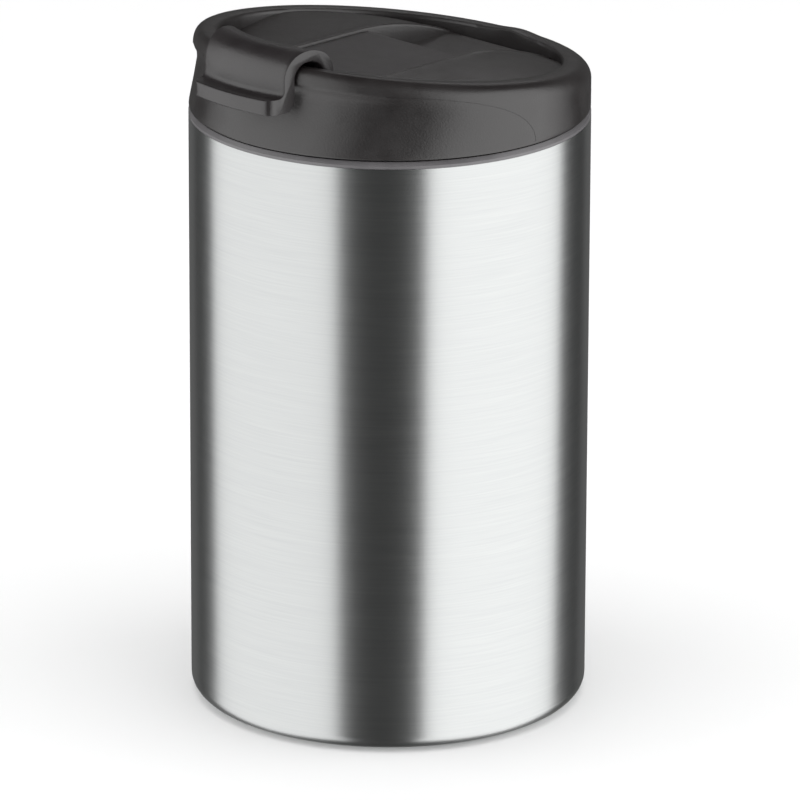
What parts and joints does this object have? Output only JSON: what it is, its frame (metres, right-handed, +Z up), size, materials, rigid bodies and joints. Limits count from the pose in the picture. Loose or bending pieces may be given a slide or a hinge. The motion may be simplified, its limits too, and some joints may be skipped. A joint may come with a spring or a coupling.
{
  "type": "insulated travel mug",
  "caption": "Double-walled steel travel mug with a screw lid, tilted drinking rim and a hinged flap that hooks over the rim.",
  "frame": {"origin": "middle of the foot's underside, where the mug stands", "axes": "+Z up along the mug's axis; -Y towards the drinking side with the hook; the flap's hinge pin lies along X"},
  "size_m": [0.08, 0.085, 0.143],
  "materials": {
    "brushed_shell": "brushed around the axis",
    "inner_steel": "satin",
    "foot_rubber": "matte",
    "silicone": "matte",
    "collar_plastic": "satin",
    "lid_plastic": "fine spark-eroded grain",
    "flap_plastic": "fine spark-eroded grain"
  },
  "bodies": {
    "mug": {"outer_shell": "brushed_shell", "base_plate": "inner_steel", "foot_pad": "foot_rubber", "inner_cup": "inner_steel", "cup_seal": "silicone", "cup_retainer": "collar_plastic", "collar": "collar_plastic", "shell_seal": "silicone"},
    "gasket": {"lid_gasket": "silicone"},
    "lid": {"lid_base": "lid_plastic", "cover_seal": "silicone", "lid_cover": "lid_plastic", "hinge_pin": "inner_steel"},
    "drinking_flap": {"flap": "flap_plastic", "drink_seal": "silicone", "vent_seal": "silicone"}
  },
  "joints": [
    {"name": "lid_lift", "type": "slide", "parent": "mug", "child": "gasket", "axis": [0, 0, 1], "range_m": [0, 0.0151]},
    {"name": "lid_turn", "type": "hinge", "parent": "gasket", "child": "lid", "pos_m": [0, 0, 0.1228], "axis": [0, 0, 1], "range_deg": [0, 450]},
    {"name": "flap_hinge", "type": "hinge", "parent": "lid", "child": "drinking_flap", "pos_m": [0, 0.005, 0.1323], "axis": [-1, 0, 0], "range_deg": [0, 177]}
  ],
  "couplings": [
    {"joint": "lid_lift", "follows": "lid_turn", "m_per_rad": 0.0019099}
  ]
}
